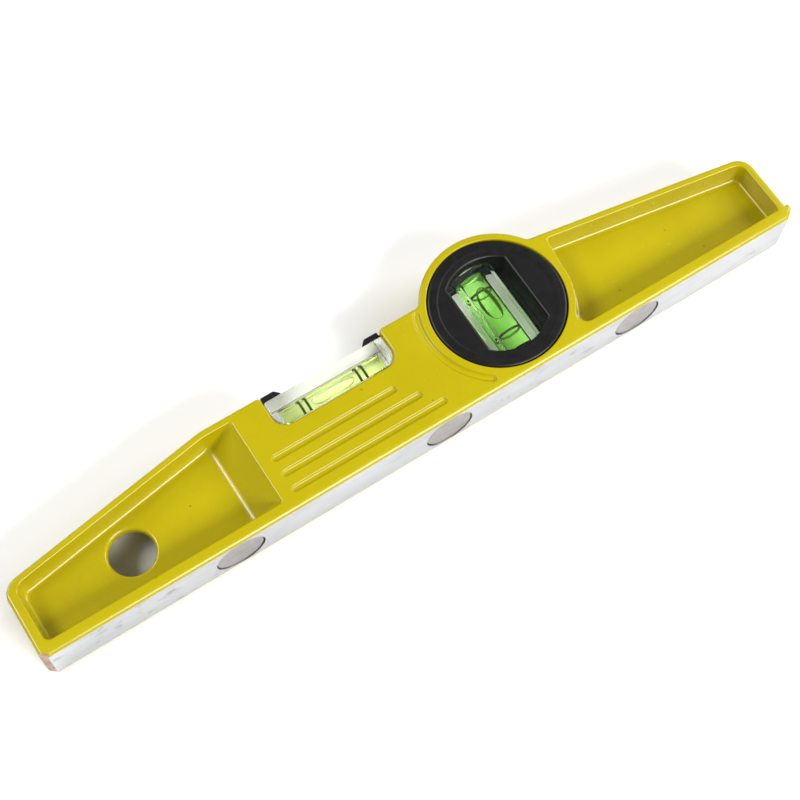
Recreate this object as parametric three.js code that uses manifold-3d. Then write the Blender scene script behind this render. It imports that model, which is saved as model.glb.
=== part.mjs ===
// Cast-aluminium torpedo spirit level lying on its back, millimetres, +Z up.
// +X runs along the level, +Y from the working face to the top edge, +Z out of the front face.
// The origin is under the middle of the bounding box, on the surface that the back rests on.
import * as THREE from 'three';
import { mergeVertices } from 'three/addons/utils/BufferGeometryUtils.js';
import { ConvexGeometry } from 'three/addons/geometries/ConvexGeometry.js';
import Module from 'manifold-3d';

// Casting outline
const THICK = 18;
const END_LEFT = -127;
const END_RIGHT = 125.4;
const LIP_X = 127;
const BASE_Y = -23;
const FOOT_Y = -23.6;
const TOP_Y = 11.15;
const EDGE_ROUND = 0.8;
const CHAMFER_LEFT = [[-127, -21.2], [-124.5, FOOT_Y]];
const CHAMFER_RIGHT = [[123.2, FOOT_Y], [127, -20.4]];
const LIP_TOP_Y = -18.9;
const LIP_R = 0.9;
const LEFT_SLOPE_X = -59.4;
const LEFT_SLOPE_R = 9;
const LEFT_END_Y = 0.3;
const RIGHT_END_Y = 1.05;
const RIGHT_SLOPE = Math.atan(0.1613);
const CORNER_R = 5.5;
const PLAN_LEFT_R = 1.2;
const PLAN_REAR_RIGHT_R = 4;
const PLAN_FRONT_RIGHT_R = 1.8;

// The round edge of the working face: heights over the face, and depths under the front or back
const BASE_EDGE = [[0, 1.09], [0.8, 0.3], [1.9, 0]];

// Notch for the level vial
const NOTCH_X = [-40, -0.2];
const NOTCH_Y = -0.2;
const NOTCH_R = 4.2;
const NOTCH_LIP_R = 1.2;

// Round boss with the plumb capsule
const BOSS = [33.9, 0];
const BOSS_R = 23;
const BOSS_FILLET = 2.4;
const BORE_R = 20.75;
const CAPSULE_R = 20.45;
const CAPSULE_EDGE = 0.7;
const CAPSULE_Z = [0.1, 17.9];
const WINDOW_R = 15.05;
const WINDOW_HALF = 10.05;

// Pockets, the same in the front and the back
const POCKET_DEPTH = 7.2;
const POCKET_Y = -19.2;
const DRAFT = 0.7;
const RAMP_RUN = 8.6;
const LEFT_POCKET_X = [-123.7, -50.3];
const RIGHT_POCKET_X = 123;
const RIGHT_POCKET_LEAN = 1.2;
const RIM = 2.15;
const LOW_LEFT_R = 2;
const RAMP_R = 1;
const LOW_RIGHT_R = 1.2;
const END_R = 3.2;
const BESIDE_BOSS_R = 3;
const UNDER_SLOPE_R = 0.9;
const FLOOR_INSET = 2.4;
const FLOOR_R = 2;
const FLOOR_END_R = 2.6;

// Hanging hole, grooves and magnets
const HOLE = { x: -92.1, y: -7.2, r: 6.7 };
const GROOVE_START = -46.6;
const GROOVES = [{ y: -7.1, end: -5.5 }, { y: -12.35, end: -0.2 }, { y: -17.6, end: 4.8 }];
const GROOVE_W = 2.3;
const GROOVE_DEPTH = 0.7;
const GROOVE_DRAFT = 0.6;
const ARC_R = 24.15;
const ARC_W = 2.4;
const ARC_ANGLES = [158.5, 233];
const MAGNETS = { left: -66.6, middle: 2.6, right: 69.1 };
const MAGNET_R = 7.45;
const MAGNET_T = 2.5;
const MAGNET_SUNK = 0.3;
const GAP = 0.3;

// Level vial: semi-axes are along X, Y and Z
const LEVEL_Y = 3.75;
const LEVEL_BORE_R = 3.15;
const LEVEL_BLOCK_TOP = 9.15;
const LEVEL_BLOCK_Z = [0.8, 17.2];
const LEVEL_BLOCK_EDGE = 0.3;
const LEVEL_BLOCK_TOP_R = 0.6;
const LEVEL_PLUG = 2.4;
const PLUG_GAP = 0.15;
const LEVEL_MARKS = [-10.5, -8.5, 8.5, 10.5];
const LEVEL_BUBBLE = [7.1, 1.9, 0.9];
const LEVEL_BUBBLE_UP = 1.5;
const RETAINER_LEN = 6.4;
const RETAINER_SLANT = 2;
const RETAINER_TOP = 11.45;
const RETAINER_Z = [2, 16];
const TONGUE = 1.5;
const TONGUE_Z = [4, 14];

// Plumb vial: semi-axes are along X, Y and Z
const PLUMB_SIDE = [8.2, 1.7];
const PLUMB_FACE = [5.4, 4.8];
const PLUMB_LEN = 33;
const PLUMB_BORE_R = 3.95;
const PLUMB_PLUG = 3;
const PLUMB_PLUG_SUNK = 0.3;
const PLUMB_MARKS = [-7.4, 7.4];
const PLUMB_BUBBLE = [2.2, 5.8, 1.1];
const PLUMB_BUBBLE_Y = 3.2;
const PLUMB_BUBBLE_UP = 1.9;
const MARK_W = 0.5;
const MARK_T = 0.25;
const MARK_SUNK = 0.25;
const MARK_FREE = 0.2;

// How many steps round pieces have, and how far a cutter runs past what it cuts
const ROUND_STEPS = 28;
const BORE_STEPS = 32;
const HOLE_STEPS = 36;
const MAGNET_STEPS = 40;
const CAPSULE_STEPS = 72;
const OVERRUN = 1;

const MID_Z = THICK / 2;
const LEVEL_X = (NOTCH_X[0] + NOTCH_X[1]) / 2;

const wasm = await Module();
wasm.setup();

// A closed three.js geometry as a solid, turned over in Z if asked, then lifted to z.
function toSolid(geometry, z = 0, flip = false) {
  const bare = geometry.clone();
  bare.deleteAttribute('normal');
  bare.deleteAttribute('uv');
  const merged = mergeVertices(bare, 1e-5);
  const index = merged.index.array;
  const triVerts = [];
  for (let i = 0; i < index.length; i += 3) {
    const [a, b, c] = [index[i], index[i + 1], index[i + 2]];
    if (a !== b && b !== c && c !== a) {
      triVerts.push(a, flip ? c : b, flip ? b : c);
    }
  }
  merged.scale(1, 1, flip ? -1 : 1);
  merged.translate(0, 0, z);
  const vertProperties = new Float32Array(merged.attributes.position.array);
  const mesh = new wasm.Mesh({ numProp: 3, vertProperties, triVerts: new Uint32Array(triVerts) });
  return new wasm.Manifold(mesh);
}

function toGeometry(solid) {
  const mesh = solid.getMesh();
  const geometry = new THREE.BufferGeometry();
  geometry.setAttribute('position', new THREE.BufferAttribute(mesh.vertProperties, 3));
  geometry.setIndex(new THREE.BufferAttribute(mesh.triVerts, 1));
  geometry.computeVertexNormals();
  return geometry;
}

// An arc about a centre that starts and ends at two points.
function arcBetween(path, centre, from, to, clockwise) {
  const radius = Math.hypot(from[0] - centre[0], from[1] - centre[1]);
  const start = Math.atan2(from[1] - centre[1], from[0] - centre[0]);
  const end = Math.atan2(to[1] - centre[1], to[0] - centre[0]);
  path.absarc(centre[0], centre[1], radius, start, end, clockwise);
}

// An arc that rounds the corner b on the way from a to c.
function roundCorner(path, a, b, c, radius) {
  const ba = new THREE.Vector2(a[0] - b[0], a[1] - b[1]).normalize();
  const bc = new THREE.Vector2(c[0] - b[0], c[1] - b[1]).normalize();
  const half = Math.acos(THREE.MathUtils.clamp(ba.dot(bc), -1, 1)) / 2;
  const reach = radius / Math.tan(half);
  const middle = ba.clone().add(bc).normalize().multiplyScalar(radius / Math.sin(half));
  const centre = [b[0] + middle.x, b[1] + middle.y];
  const from = [b[0] + ba.x * reach, b[1] + ba.y * reach];
  const to = [b[0] + bc.x * reach, b[1] + bc.y * reach];
  arcBetween(path, centre, from, to, ba.cross(bc) > 0);
}

// Goes through the inner points of a run of corners [x, y, radius].
function throughCorners(path, corners) {
  for (let i = 1; i < corners.length - 1; i += 1) {
    const [x, y, radius] = corners[i];
    if (radius) {
      roundCorner(path, corners[i - 1], corners[i], corners[i + 1], radius);
    } else {
      path.lineTo(x, y);
    }
  }
}

// A closed shape through corners [x, y, radius], listed anticlockwise.
function roundedShape(corners) {
  const shape = new THREE.Shape();
  throughCorners(shape, [corners[corners.length - 1], ...corners, corners[0]]);
  shape.closePath();
  return shape;
}

function polygon(points) {
  return new THREE.Shape(points.map(([x, y]) => new THREE.Vector2(x, y)));
}

// The point at a distance from an origin, in the direction of another point.
function towards(origin, point, distance) {
  const length = Math.hypot(point[0] - origin[0], point[1] - origin[1]);
  const share = distance / length;
  return [origin[0] + (point[0] - origin[0]) * share, origin[1] + (point[1] - origin[1]) * share];
}

// The centre of a circle that touches the boss from outside and a straight edge.
// The edge is given by a point, its unit normal and its unit direction away from the boss.
function besideBoss(point, normal, along, radius, side) {
  const level = (point[0] - BOSS[0]) * normal[0] + (point[1] - BOSS[1]) * normal[1];
  const offset = level + side * radius;
  const run = Math.sqrt((BOSS_R + radius) ** 2 - offset ** 2);
  return [
    BOSS[0] + normal[0] * offset + along[0] * run,
    BOSS[1] + normal[1] * offset + along[1] * run,
  ];
}

const RIGHT_NORMAL = [Math.sin(RIGHT_SLOPE), Math.cos(RIGHT_SLOPE)];
const RIGHT_ALONG = [Math.cos(RIGHT_SLOPE), -Math.sin(RIGHT_SLOPE)];

function leftTopAt(x) {
  return LEFT_END_Y + ((TOP_Y - LEFT_END_Y) * (x - END_LEFT)) / (LEFT_SLOPE_X - END_LEFT);
}

function rightTopAt(x) {
  return RIGHT_END_Y + Math.tan(RIGHT_SLOPE) * (END_RIGHT - x);
}

function outlineShape() {
  const rightEnd = [END_RIGHT, RIGHT_END_Y];
  const right = besideBoss(rightEnd, RIGHT_NORMAL, RIGHT_ALONG, BOSS_FILLET, 1);
  const left = besideBoss([0, TOP_Y], [0, 1], [-1, 0], BOSS_FILLET, 1);
  const onSlope = [right[0] - RIGHT_NORMAL[0] * BOSS_FILLET, right[1] - RIGHT_NORMAL[1] * BOSS_FILLET];
  const onTop = [left[0], TOP_Y];
  const shape = new THREE.Shape();
  shape.moveTo(CHAMFER_LEFT[1][0], CHAMFER_LEFT[1][1]);
  throughCorners(shape, [
    CHAMFER_LEFT[1],
    CHAMFER_RIGHT[0],
    CHAMFER_RIGHT[1],
    [LIP_X, LIP_TOP_Y, LIP_R],
    [END_RIGHT, LIP_TOP_Y],
    [END_RIGHT, RIGHT_END_Y, CORNER_R],
    onSlope,
  ]);
  arcBetween(shape, right, onSlope, towards(right, BOSS, BOSS_FILLET), true);
  const crown = [BOSS[0], BOSS[1] + BOSS_R];
  arcBetween(shape, BOSS, towards(BOSS, right, BOSS_R), crown, false);
  arcBetween(shape, BOSS, crown, towards(BOSS, left, BOSS_R), false);
  arcBetween(shape, left, towards(left, BOSS, BOSS_FILLET), onTop, true);
  throughCorners(shape, [
    onTop,
    [NOTCH_X[1], TOP_Y, NOTCH_LIP_R],
    [NOTCH_X[1], NOTCH_Y, NOTCH_R],
    [NOTCH_X[0], NOTCH_Y, NOTCH_R],
    [NOTCH_X[0], TOP_Y, NOTCH_LIP_R],
    [LEFT_SLOPE_X, TOP_Y, LEFT_SLOPE_R],
    [END_LEFT, LEFT_END_Y, CORNER_R],
    CHAMFER_LEFT[0],
    CHAMFER_LEFT[1],
  ]);
  shape.closePath();
  const bore = new THREE.Path();
  for (let quarter = 0; quarter < 4; quarter += 1) {
    const from = (quarter * Math.PI) / 2;
    bore.absarc(BOSS[0], BOSS[1], BORE_R, from, from + Math.PI / 2, false);
  }
  shape.holes.push(bore);
  return shape;
}

// Steep walls on three sides and a long ramp towards the middle of the level.
function leftPocketGeometry() {
  const [x0, x1] = LEFT_POCKET_X;
  const kink = LEFT_SLOPE_X - 0.3;
  const inner = x1 - RAMP_RUN;
  const rim = [
    [x0, POCKET_Y, LOW_LEFT_R],
    [x1, POCKET_Y, RAMP_R],
    [x1, TOP_Y - RIM, RAMP_R],
    [kink, TOP_Y - RIM, RAMP_R],
    [x0, leftTopAt(x0) - RIM, END_R],
  ];
  const outer = x0 + FLOOR_INSET;
  const floor = [
    [outer, POCKET_Y + DRAFT, FLOOR_R],
    [inner, POCKET_Y + DRAFT, FLOOR_R],
    [inner, leftTopAt(inner) - RIM - DRAFT, FLOOR_R],
    [outer, leftTopAt(outer) - RIM - DRAFT, FLOOR_END_R],
  ];
  const points = [];
  for (const [corners, z] of [[rim, 1], [rim, 0], [floor, -POCKET_DEPTH]]) {
    for (const p of roundedShape(corners).getPoints(5)) {
      points.push(new THREE.Vector3(p.x, p.y, z));
    }
  }
  return new ConvexGeometry(points);
}

// The inner side follows the boss up to its outermost point, then runs nearly straight up.
function rightPocketGeometry() {
  const low = besideBoss([0, POCKET_Y], [0, 1], [1, 0], BESIDE_BOSS_R, 1);
  const onFloor = [low[0], POCKET_Y];
  const besideMiddle = [BOSS[0] + BOSS_R, BOSS[1]];
  const x0 = besideMiddle[0] + RIGHT_POCKET_LEAN;
  const x1 = RIGHT_POCKET_X;
  const shape = new THREE.Shape();
  arcBetween(shape, low, towards(low, BOSS, BESIDE_BOSS_R), onFloor, false);
  throughCorners(shape, [
    onFloor,
    [x1, POCKET_Y, LOW_RIGHT_R],
    [x1, rightTopAt(x1) - RIM, END_R],
    [x0, rightTopAt(x0) - RIM, UNDER_SLOPE_R],
    besideMiddle,
  ]);
  arcBetween(shape, BOSS, besideMiddle, towards(BOSS, low, BOSS_R), true);
  shape.closePath();
  return taper(shape, POCKET_DEPTH, DRAFT, 4);
}

// A cutter for a sunk shape: full size from z = 0 up, narrowed by the draft at z = -depth.
function taper(shape, depth, draft, curveSegments) {
  return new THREE.ExtrudeGeometry(shape, {
    depth: 1,
    bevelThickness: depth,
    bevelSize: draft,
    bevelOffset: -draft,
    bevelSegments: 1,
    curveSegments,
  });
}

function straightGrooveGeometry(y, end) {
  const r = GROOVE_W / 2;
  const shape = new THREE.Shape();
  shape.absarc(GROOVE_START + r, y, r, Math.PI / 2, Math.PI * 1.5, false);
  shape.absarc(end - r, y, r, -Math.PI / 2, Math.PI / 2, false);
  shape.closePath();
  return taper(shape, GROOVE_DEPTH, GROOVE_DRAFT, 4);
}

function arcGrooveGeometry() {
  const r = ARC_W / 2;
  const [a, b] = ARC_ANGLES.map(THREE.MathUtils.degToRad);
  const at = (angle) => [BOSS[0] + Math.cos(angle) * ARC_R, BOSS[1] + Math.sin(angle) * ARC_R];
  const shape = new THREE.Shape();
  shape.absarc(...BOSS, ARC_R + r, a, b, false);
  shape.absarc(...at(b), r, b, b + Math.PI, false);
  shape.absarc(...BOSS, ARC_R - r, b, a, true);
  shape.absarc(...at(a), r, a + Math.PI, a, false);
  shape.closePath();
  return taper(shape, GROOVE_DEPTH, GROOVE_DRAFT, 6);
}

function boxGeometry([x0, x1], [y0, y1], [z0, z1]) {
  const geometry = new THREE.BoxGeometry(x1 - x0, y1 - y0, z1 - z0);
  geometry.translate((x0 + x1) / 2, (y0 + y1) / 2, (z0 + z1) / 2);
  return geometry;
}

// A round bar along the axis 'x', 'y' or 'z', centred on a point.
function barGeometry(axis, radius, length, centre, segments) {
  const geometry = new THREE.CylinderGeometry(radius, radius, length, segments);
  if (axis === 'x') {
    geometry.rotateZ(-Math.PI / 2);
  }
  if (axis === 'z') {
    geometry.rotateX(Math.PI / 2);
  }
  geometry.translate(...centre);
  return geometry;
}

function extrudeBetween(shape, z0, z1, bevel, curveSegments) {
  const geometry = new THREE.ExtrudeGeometry(shape, {
    depth: z1 - z0 - 2 * bevel,
    bevelEnabled: bevel > 0,
    bevelThickness: bevel,
    bevelSize: bevel,
    bevelOffset: -bevel,
    bevelSegments: 2,
    curveSegments,
  });
  geometry.translate(0, 0, z0 + bevel);
  return geometry;
}

// The outline seen from above the top edge, from the milled working face upwards.
function planGeometry() {
  const height = 60;
  const plan = roundedShape([
    [END_LEFT, 0, PLAN_LEFT_R],
    [LIP_X, 0, PLAN_REAR_RIGHT_R],
    [LIP_X, THICK, PLAN_FRONT_RIGHT_R],
    [END_LEFT, THICK, PLAN_LEFT_R],
  ]);
  const geometry = extrudeBetween(plan, 0, height, 0, 3);
  geometry.rotateX(Math.PI / 2);
  geometry.translate(0, BASE_Y + height, 0);
  return geometry;
}

// The section seen from the end, with the round edges of the working face.
function endGeometry() {
  const top = 2 * BOSS_R;
  const rear = BASE_EDGE.map(([up, depth]) => [depth, BASE_Y + up]);
  const front = BASE_EDGE.map(([up, depth]) => [THICK - depth, BASE_Y + up]).reverse();
  const section = polygon([...front, ...rear, [0, top], [THICK, top]].reverse());
  const length = 2 * (LIP_X + OVERRUN);
  const geometry = extrudeBetween(section, 0, length, 0, 1);
  geometry.rotateY(-Math.PI / 2);
  geometry.translate(length / 2, 0, 0);
  return geometry;
}

function tongueSlotGeometry(side) {
  const wall = side < 0 ? NOTCH_X[0] : NOTCH_X[1];
  const x = [wall - side * OVERRUN, wall + side * TONGUE].sort((a, b) => a - b);
  const z = [TONGUE_Z[0] - GAP, TONGUE_Z[1] + GAP];
  return boxGeometry(x, [LEVEL_BLOCK_TOP, RETAINER_TOP + OVERRUN], z);
}

function castBody() {
  let body = toSolid(extrudeBetween(outlineShape(), 0, THICK, EDGE_ROUND, 6));
  body = body.intersect(toSolid(planGeometry())).intersect(toSolid(endGeometry()));
  const sunk = [leftPocketGeometry(), rightPocketGeometry(), arcGrooveGeometry()];
  for (const groove of GROOVES) {
    sunk.push(straightGrooveGeometry(groove.y, groove.end));
  }
  for (const geometry of sunk) {
    body = body.subtract(toSolid(geometry, THICK));
    body = body.subtract(toSolid(geometry, 0, true));
  }
  const through = THICK + 2 * OVERRUN;
  const hole = barGeometry('z', HOLE.r, through, [HOLE.x, HOLE.y, MID_Z], HOLE_STEPS);
  body = body.subtract(toSolid(hole));
  const boreDepth = MAGNET_SUNK + MAGNET_T + GAP;
  for (const x of Object.values(MAGNETS)) {
    const centre = [x, BASE_Y + (boreDepth - OVERRUN) / 2, MID_Z];
    const bore = barGeometry('y', MAGNET_R + GAP, boreDepth + OVERRUN, centre, MAGNET_STEPS);
    body = body.subtract(toSolid(bore));
  }
  for (const side of [-1, 1]) {
    body = body.subtract(toSolid(tongueSlotGeometry(side)));
  }
  return toGeometry(body);
}

function magnetGeometry(x) {
  const y = BASE_Y + MAGNET_SUNK + MAGNET_T / 2;
  return barGeometry('y', MAGNET_R, MAGNET_T, [x, y, MID_Z], MAGNET_STEPS);
}

const LEVEL_END = (NOTCH_X[1] - NOTCH_X[0]) / 2 - GAP;

// The block before it is bored: round lower corners that follow the notch.
function levelBlank() {
  const x = [LEVEL_X - LEVEL_END, LEVEL_X + LEVEL_END];
  const y = [NOTCH_Y + GAP, LEVEL_BLOCK_TOP];
  const shape = roundedShape([
    [x[0], y[0], NOTCH_R - GAP],
    [x[1], y[0], NOTCH_R - GAP],
    [x[1], y[1], LEVEL_BLOCK_TOP_R],
    [x[0], y[1], LEVEL_BLOCK_TOP_R],
  ]);
  return toSolid(extrudeBetween(shape, ...LEVEL_BLOCK_Z, LEVEL_BLOCK_EDGE, 3));
}

function levelBlock() {
  const length = 2 * (LEVEL_END + OVERRUN);
  const bore = barGeometry('x', LEVEL_BORE_R, length, [LEVEL_X, LEVEL_Y, MID_Z], BORE_STEPS);
  return toGeometry(levelBlank().subtract(toSolid(bore)));
}

// A plug in each end of the bore, cut to the outside of the block.
function levelPlug(side) {
  const x = LEVEL_X + side * (LEVEL_END - LEVEL_PLUG / 2);
  const bar = barGeometry('x', LEVEL_BORE_R - PLUG_GAP, LEVEL_PLUG, [x, LEVEL_Y, MID_Z], BORE_STEPS);
  return toGeometry(levelBlank().intersect(toSolid(bar)));
}

// A thin band round the inside of a bore.
function markGeometry(axis, boreR, centre) {
  const outer = boreR - MARK_SUNK;
  const ring = toSolid(barGeometry(axis, outer, MARK_W, centre, ROUND_STEPS));
  const hole = toSolid(barGeometry(axis, outer - MARK_T, MARK_W + OVERRUN, centre, ROUND_STEPS));
  return toGeometry(ring.subtract(hole));
}

// A bubble with rounded ends, given by its semi-axes and its centre.
function bubbleGeometry(semiAxes, centre) {
  const geometry = new THREE.SphereGeometry(1, 16, 8);
  geometry.scale(...semiAxes);
  geometry.translate(...centre);
  return toGeometry(toSolid(geometry));
}

// The liquid: a bar with a channel for the bubble's run and grooves where the marks sit.
function spiritGeometry(axis, boreR, length, centre, marks, bubble, up) {
  const radius = boreR - GAP;
  let spirit = toSolid(barGeometry(axis, radius, length, centre, ROUND_STEPS));
  const half = bubble + GAP;
  const z = [centre[2] + up - 1.2 * half, centre[2] + boreR + OVERRUN];
  const over = length / 2 + OVERRUN;
  const x = axis === 'x' ? [centre[0] - over, centre[0] + over] : [centre[0] - half, centre[0] + half];
  const y = axis === 'y' ? [centre[1] - over, centre[1] + over] : [centre[1] - half, centre[1] + half];
  spirit = spirit.subtract(toSolid(boxGeometry(x, y, z)));
  for (const at of marks) {
    const middle = [...centre];
    middle[axis === 'x' ? 0 : 1] += at;
    const coreR = boreR - MARK_SUNK - MARK_T - MARK_FREE;
    const cut = toSolid(barGeometry(axis, boreR, MARK_W + GAP, middle, ROUND_STEPS));
    const core = toSolid(barGeometry(axis, coreR, MARK_W + OVERRUN, middle, ROUND_STEPS));
    spirit = spirit.subtract(cut.subtract(core));
  }
  return toGeometry(spirit);
}

function retainerGeometry(side) {
  const wall = LEVEL_X + side * LEVEL_END;
  const y = [LEVEL_BLOCK_TOP + GAP, RETAINER_TOP];
  const at = (inwards) => wall - side * inwards;
  const corners = [
    [at(0), y[0]],
    [at(RETAINER_LEN), y[0]],
    [at(RETAINER_LEN - RETAINER_SLANT), y[1]],
    [at(0), y[1]],
  ];
  const shape = polygon(side < 0 ? corners : corners.reverse());
  const tongueX = [at(-TONGUE + GAP), at(0.5)].sort((a, b) => a - b);
  const tongue = toSolid(boxGeometry(tongueX, [y[0], TOP_Y - 0.2], TONGUE_Z));
  return toGeometry(toSolid(extrudeBetween(shape, ...RETAINER_Z, 0, 1)).add(tongue));
}

function windowShape() {
  const rise = Math.sqrt(WINDOW_R ** 2 - WINDOW_HALF ** 2);
  const [x, y] = BOSS;
  const shape = new THREE.Shape();
  shape.moveTo(x + WINDOW_HALF, y - rise);
  shape.lineTo(x + WINDOW_HALF, y + rise);
  arcBetween(shape, BOSS, [x + WINDOW_HALF, y + rise], [x - WINDOW_HALF, y + rise], false);
  shape.lineTo(x - WINDOW_HALF, y - rise);
  arcBetween(shape, BOSS, [x - WINDOW_HALF, y - rise], [x + WINDOW_HALF, y - rise], false);
  return shape;
}

// The section of the plumb block across its length, grown all round by a clearance.
function plumbBlockGeometry(clearance) {
  const [sideX, sideZ] = PLUMB_SIDE;
  const [faceX, faceZ] = PLUMB_FACE;
  const quarter = [[faceX, -faceZ], [sideX, -sideZ], [sideX, sideZ], [faceX, faceZ]];
  const section = [...quarter, ...quarter.map(([x, z]) => [-x, -z])];
  const grown = section.map(([x, z]) => [x + Math.sign(x) * clearance, z + Math.sign(z) * clearance]);
  const shape = polygon(grown);
  const length = PLUMB_LEN + 2 * clearance;
  const geometry = extrudeBetween(shape, -length / 2, length / 2, 0, 1);
  geometry.rotateX(-Math.PI / 2);
  geometry.translate(BOSS[0], BOSS[1], MID_Z);
  return geometry;
}

function plumbBlock() {
  const length = PLUMB_LEN + 2 * OVERRUN;
  const bore = barGeometry('y', PLUMB_BORE_R, length, [...BOSS, MID_Z], BORE_STEPS);
  return toGeometry(toSolid(plumbBlockGeometry(0)).subtract(toSolid(bore)));
}

// One half of the capsule; the rear half is the front half turned over.
function capsuleHalf(rear) {
  const inside = GAP / 2;
  const outside = CAPSULE_Z[1] - MID_Z;
  const profile = [
    [0, inside],
    [CAPSULE_R, inside],
    [CAPSULE_R, outside - CAPSULE_EDGE],
    [CAPSULE_R - 0.3 * CAPSULE_EDGE, outside - 0.3 * CAPSULE_EDGE],
    [CAPSULE_R - CAPSULE_EDGE, outside],
    [0, outside],
  ];
  const disc = new THREE.LatheGeometry(profile.map(([r, h]) => new THREE.Vector2(r, h)), CAPSULE_STEPS);
  disc.rotateX(Math.PI / 2);
  disc.translate(...BOSS, 0);
  let half = toSolid(disc);
  half = half.subtract(toSolid(extrudeBetween(windowShape(), -OVERRUN, outside + OVERRUN, 0, 8)));
  const slot = plumbBlockGeometry(GAP);
  slot.translate(0, 0, -MID_Z);
  half = half.subtract(toSolid(slot));
  return toGeometry(toSolid(toGeometry(half), MID_Z, rear));
}

function plumbPlugGeometry(side) {
  const y = BOSS[1] + side * (PLUMB_LEN / 2 - PLUMB_PLUG / 2 - PLUMB_PLUG_SUNK);
  return barGeometry('y', PLUMB_BORE_R - PLUG_GAP, PLUMB_PLUG, [BOSS[0], y, MID_Z], ROUND_STEPS);
}

const enamel = { color: 0xd2bf1e, roughness: 0.32, metalness: 0 };
const nickel = { color: 0xb4aca8, roughness: 0.35, metalness: 1 };
const acrylic = { color: 0xe6ece8, roughness: 0.05, metalness: 0, transparent: true, opacity: 0.3 };
const liquid = { color: 0x9adf4a, roughness: 0.1, metalness: 0, transparent: true, opacity: 0.7 };
const air = { color: 0xf4ffd8, roughness: 0.1, metalness: 0, transparent: true, opacity: 0.5 };
const ink = { color: 0x23261c, roughness: 0.6, metalness: 0 };
const black = { color: 0x222224, roughness: 0.45, metalness: 0 };

const level = new THREE.Group();

function addPiece(name, geometry, look) {
  const mesh = new THREE.Mesh(geometry, new THREE.MeshStandardMaterial(look));
  mesh.name = name;
  level.add(mesh);
}

addPiece('cast_body', castBody(), enamel);
for (const [place, x] of Object.entries(MAGNETS)) {
  addPiece(`magnet_${place}`, magnetGeometry(x), nickel);
}

const levelCentre = [LEVEL_X, LEVEL_Y, MID_Z];
const levelLength = 2 * (LEVEL_END - LEVEL_PLUG - GAP);
addPiece('level_vial_block', levelBlock(), acrylic);
addPiece('level_vial_spirit', spiritGeometry(
  'x', LEVEL_BORE_R, levelLength, levelCentre, LEVEL_MARKS, LEVEL_BUBBLE[1], LEVEL_BUBBLE_UP,
), liquid);
addPiece('level_bubble', bubbleGeometry(LEVEL_BUBBLE, [LEVEL_X, LEVEL_Y, MID_Z + LEVEL_BUBBLE_UP]), air);
LEVEL_MARKS.forEach((at, i) => {
  const centre = [LEVEL_X + at, LEVEL_Y, MID_Z];
  addPiece(`level_mark_${i + 1}`, markGeometry('x', LEVEL_BORE_R, centre), ink);
});
addPiece('level_plug_left', levelPlug(-1), acrylic);
addPiece('level_plug_right', levelPlug(1), acrylic);
addPiece('retainer_left', retainerGeometry(-1), black);
addPiece('retainer_right', retainerGeometry(1), black);

const plumbCentre = [...BOSS, MID_Z];
const plumbLength = PLUMB_LEN - 2 * (PLUMB_PLUG + 2 * PLUMB_PLUG_SUNK);
const plumbBubbleCentre = [BOSS[0], BOSS[1] + PLUMB_BUBBLE_Y, MID_Z + PLUMB_BUBBLE_UP];
addPiece('plumb_capsule_front', capsuleHalf(false), black);
addPiece('plumb_capsule_rear', capsuleHalf(true), black);
addPiece('plumb_vial_block', plumbBlock(), acrylic);
addPiece('plumb_vial_spirit', spiritGeometry(
  'y', PLUMB_BORE_R, plumbLength, plumbCentre, PLUMB_MARKS, PLUMB_BUBBLE[0], PLUMB_BUBBLE_UP,
), liquid);
addPiece('plumb_bubble', bubbleGeometry(PLUMB_BUBBLE, plumbBubbleCentre), air);
addPiece('plumb_mark_lower', markGeometry('y', PLUMB_BORE_R, [BOSS[0], PLUMB_MARKS[0], MID_Z]), ink);
addPiece('plumb_mark_upper', markGeometry('y', PLUMB_BORE_R, [BOSS[0], PLUMB_MARKS[1], MID_Z]), ink);
addPiece('plumb_plug_lower', plumbPlugGeometry(-1), acrylic);
addPiece('plumb_plug_upper', plumbPlugGeometry(1), acrylic);

export default level;
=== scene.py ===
from math import atan, atan2, cos, hypot, pi, radians, sin, sqrt, tan

import bmesh
import bpy
from mathutils import Matrix, Vector


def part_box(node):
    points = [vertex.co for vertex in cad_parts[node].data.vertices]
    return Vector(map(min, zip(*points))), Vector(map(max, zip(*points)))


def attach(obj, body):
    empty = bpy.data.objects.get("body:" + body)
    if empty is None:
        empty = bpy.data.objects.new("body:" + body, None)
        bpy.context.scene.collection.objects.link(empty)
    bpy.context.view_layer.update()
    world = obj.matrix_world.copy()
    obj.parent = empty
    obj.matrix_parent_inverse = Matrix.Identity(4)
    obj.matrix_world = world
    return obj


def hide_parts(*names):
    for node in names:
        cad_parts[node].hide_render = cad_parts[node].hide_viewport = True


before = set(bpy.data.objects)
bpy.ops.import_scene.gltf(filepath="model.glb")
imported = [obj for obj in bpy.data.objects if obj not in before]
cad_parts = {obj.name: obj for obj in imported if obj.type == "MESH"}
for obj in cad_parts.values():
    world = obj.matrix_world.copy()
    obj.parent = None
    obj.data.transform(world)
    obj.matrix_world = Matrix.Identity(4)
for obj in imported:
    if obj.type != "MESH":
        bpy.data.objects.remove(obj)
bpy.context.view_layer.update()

# A cast spirit level lying on its back. Lengths are in millimetres and are turned into metres where
# vertices are made. +X runs along the level, +Y from the working face to the top edge, +Z out of the front.
MM = 0.001


def box_mm(node):
    """The lowest and highest corner of a CAD node, in millimetres."""
    low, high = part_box(node)
    return low / MM, high / MM


def middle_mm(node):
    low, high = box_mm(node)
    return (low + high) / 2


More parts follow.
